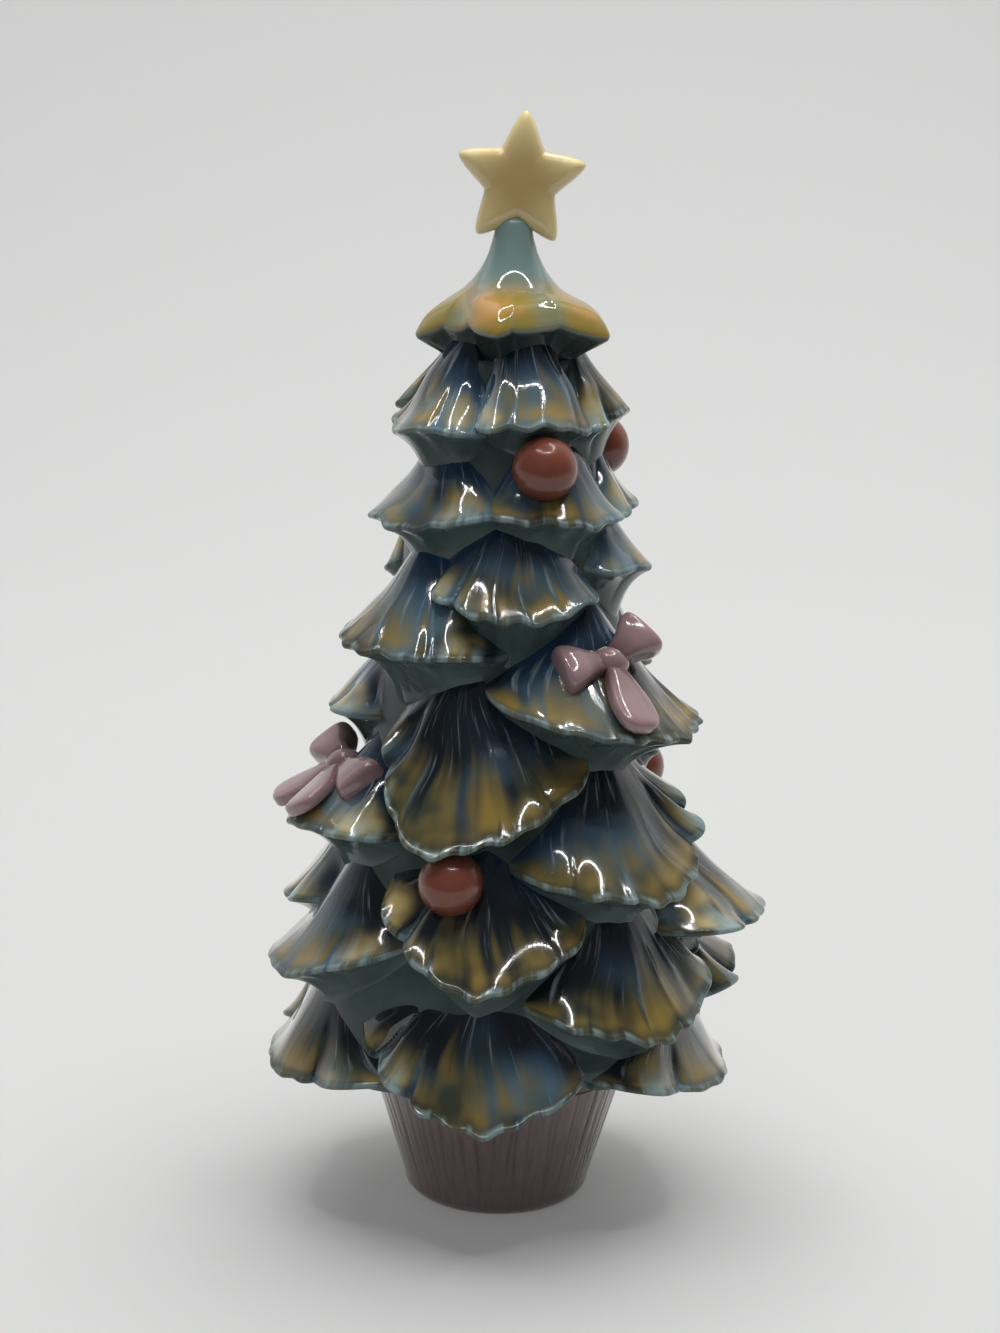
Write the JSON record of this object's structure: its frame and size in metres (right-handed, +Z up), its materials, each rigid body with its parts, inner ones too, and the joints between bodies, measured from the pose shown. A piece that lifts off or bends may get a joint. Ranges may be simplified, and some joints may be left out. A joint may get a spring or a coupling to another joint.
{
  "type": "ceramic christmas tree",
  "caption": "Glazed ceramic table-top Christmas tree with layered fluted boughs, baubles, ribbon bows, a star and a small tapered pot.",
  "frame": {"origin": "centre of the pot's flat foot, on the surface it stands on", "axes": "+Z up the trunk, -Y towards the shown side, +X to its right"},
  "size_m": [0.1041, 0.0975, 0.2208],
  "materials": {
    "pot_glaze": "gloss",
    "trunk_glaze": "gloss",
    "bough_glaze": "gloss",
    "crown_glaze": "gloss",
    "star_glaze": "gloss",
    "bauble_glaze": "gloss",
    "bow_glaze": "gloss"
  },
  "bodies": {
    "root": {"bauble_2_front": "bauble_glaze", "bauble_2_right": "bauble_glaze", "bauble_4_back": "bauble_glaze", "bauble_6_back_left": "bauble_glaze", "bauble_6_right": "bauble_glaze", "bauble_7_front": "bauble_glaze", "bough_10_front_right": "bough_glaze", "bough_10_right": "bough_glaze", "bough_11_back": "bough_glaze", "bough_11_back_left": "bough_glaze", "bough_11_back_right": "bough_glaze", "bough_11_front": "bough_glaze", "bough_11_left": "bough_glaze", "bough_11_right": "bough_glaze", "bough_2_back_left": "bough_glaze", "bough_2_back_right": "bough_glaze", "bough_2_front": "bough_glaze", "bough_2_left": "bough_glaze", "bough_2_right": "bough_glaze", "bough_3_back": "bough_glaze", "bough_3_front": "bough_glaze", "bough_3_left": "bough_glaze", "bough_3_right": "bough_glaze", "bough_4_back_left": "bough_glaze", "bough_4_back_right": "bough_glaze", "bough_4_front": "bough_glaze", "bough_4_right": "bough_glaze", "bough_5_back": "bough_glaze", "bough_5_front_right": "bough_glaze", "bough_5_left": "bough_glaze", "bough_5_right": "bough_glaze", "bough_6_back_right": "bough_glaze", "bough_6_left": "bough_glaze", "bough_6_right": "bough_glaze", "bough_7_back": "bough_glaze", "bough_7_front": "bough_glaze", "bough_7_left": "bough_glaze", "bough_8_back_right": "bough_glaze", "bough_8_front_right": "bough_glaze", "bough_8_right": "bough_glaze", "bough_9_back": "bough_glaze", "bough_9_back_left": "bough_glaze", "bough_9_front": "bough_glaze", "bough_9_left": "bough_glaze", "bow_left_knot": "bow_glaze", "bow_left_loop_lower": "bow_glaze", "bow_left_loop_upper": "bow_glaze", "bow_left_tail_inner": "bow_glaze", "bow_left_tail_outer": "bow_glaze", "bow_right_knot": "bow_glaze", "bow_right_loop_left": "bow_glaze", "bow_right_loop_right": "bow_glaze", "bow_right_tail": "bow_glaze", "crown": "crown_glaze", "pot": "pot_glaze", "star": "star_glaze", "trunk_core": "trunk_glaze"}
  },
  "joints": []
}
